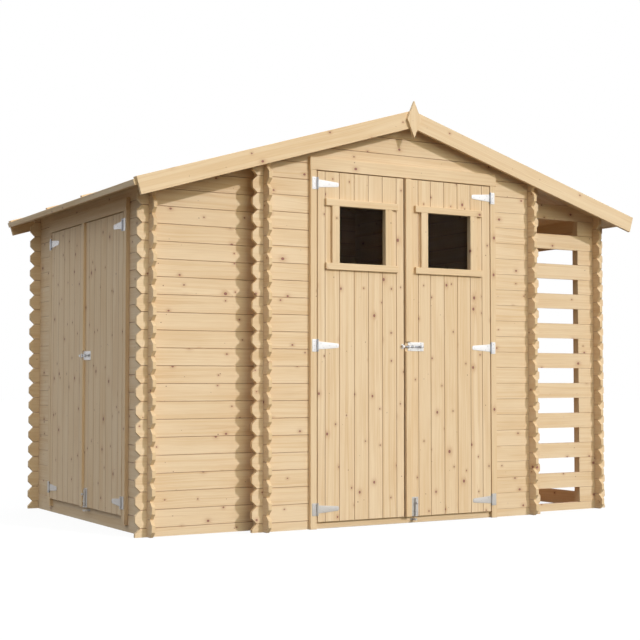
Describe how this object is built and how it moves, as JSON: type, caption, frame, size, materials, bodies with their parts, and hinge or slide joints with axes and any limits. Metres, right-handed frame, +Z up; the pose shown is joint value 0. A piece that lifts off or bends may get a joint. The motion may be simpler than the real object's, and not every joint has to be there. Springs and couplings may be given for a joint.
{
  "type": "garden shed with log store",
  "caption": "Gabled garden shed of interlocking log planks with double doors, a closed tool store at one side and an open slatted log store at the other, under a shared board roof.",
  "frame": {"origin": "on the ground, under the middle of the roof", "axes": "+X along the front from the tool store to the log store, +Y from the front to the back, +Z up"},
  "size_m": [3.235, 2.112, 2.2905],
  "materials": {
    "wall_planks": "planed, unpainted",
    "door_boards": "planed, unpainted",
    "trim_wood": "planed, unpainted",
    "roof_wood": "sawn, unpainted",
    "window_glass": "clear",
    "galvanised_steel": "zinc plated"
  },
  "bodies": {
    "shed": {"barge_boards": "trim_wood", "eave_fascias": "roof_wood", "finials": "trim_wood", "front_frame_ironwork": "galvanised_steel", "front_header": "trim_wood", "front_jambs": "trim_wood", "hut_back_wall": "wall_planks", "hut_front_gable": "wall_planks", "hut_front_wall_left": "wall_planks", "hut_front_wall_right": "wall_planks", "hut_left_wall": "wall_planks", "hut_right_wall": "wall_planks", "log_store_back_slats": "wall_planks", "log_store_battens": "wall_planks", "log_store_end_corners": "wall_planks", "log_store_end_top": "wall_planks", "log_store_front_slats": "wall_planks", "ridge_beam": "roof_wood", "roof_battens": "roof_wood", "roof_left": "roof_wood", "roof_right": "roof_wood", "side_frame_ironwork": "galvanised_steel", "side_header": "trim_wood", "side_jambs": "trim_wood", "sill_planks": "wall_planks", "tool_store_back_wall": "wall_planks", "tool_store_end_back": "wall_planks", "tool_store_end_front": "wall_planks", "tool_store_end_top": "wall_planks", "tool_store_front_wall": "wall_planks"},
    "front_left_door": {"front_left_leaf": "door_boards", "front_left_ironwork": "galvanised_steel", "front_left_window_trim": "trim_wood", "front_left_glass": "window_glass"},
    "front_right_door": {"front_right_leaf": "door_boards", "front_right_ironwork": "galvanised_steel", "front_right_window_trim": "trim_wood", "front_right_glass": "window_glass", "front_astragal": "door_boards"},
    "front_latch": {"front_latch_bolt": "galvanised_steel"},
    "front_foot_bolt": {"front_drop_bolt": "galvanised_steel"},
    "side_left_door": {"side_left_leaf": "door_boards", "side_left_ironwork": "galvanised_steel"},
    "side_right_door": {"side_right_leaf": "door_boards", "side_right_ironwork": "galvanised_steel", "side_astragal": "door_boards"},
    "side_latch": {"side_latch_bolt": "galvanised_steel"},
    "side_foot_bolt": {"side_drop_bolt": "galvanised_steel"}
  },
  "joints": [
    {"name": "front_left_door_swing", "type": "hinge", "parent": "shed", "child": "front_left_door", "pos_m": [-0.5675, -0.986, 0.95], "axis": [0, 0, -1], "range_deg": [0, 165]},
    {"name": "front_right_door_swing", "type": "hinge", "parent": "shed", "child": "front_right_door", "pos_m": [0.5675, -0.986, 0.95], "axis": [0, 0, 1], "range_deg": [0, 165]},
    {"name": "side_left_door_swing", "type": "hinge", "parent": "shed", "child": "side_left_door", "pos_m": [-1.491, 0.5675, 0.86], "axis": [0, 0, -1], "range_deg": [0, 165]},
    {"name": "side_right_door_swing", "type": "hinge", "parent": "shed", "child": "side_right_door", "pos_m": [-1.491, -0.5675, 0.86], "axis": [0, 0, 1], "range_deg": [0, 165]},
    {"name": "front_latch_slide", "type": "slide", "parent": "front_right_door", "child": "front_latch", "axis": [-1, 0, 0], "range_m": [0, 0.026]},
    {"name": "front_foot_bolt_slide", "type": "slide", "parent": "front_right_door", "child": "front_foot_bolt", "axis": [0, 0, -1], "range_m": [0, 0.026]},
    {"name": "side_latch_slide", "type": "slide", "parent": "side_right_door", "child": "side_latch", "axis": [0, 1, 0], "range_m": [0, 0.026]},
    {"name": "side_foot_bolt_slide", "type": "slide", "parent": "side_right_door", "child": "side_foot_bolt", "axis": [0, 0, -1], "range_m": [0, 0.026]}
  ]
}
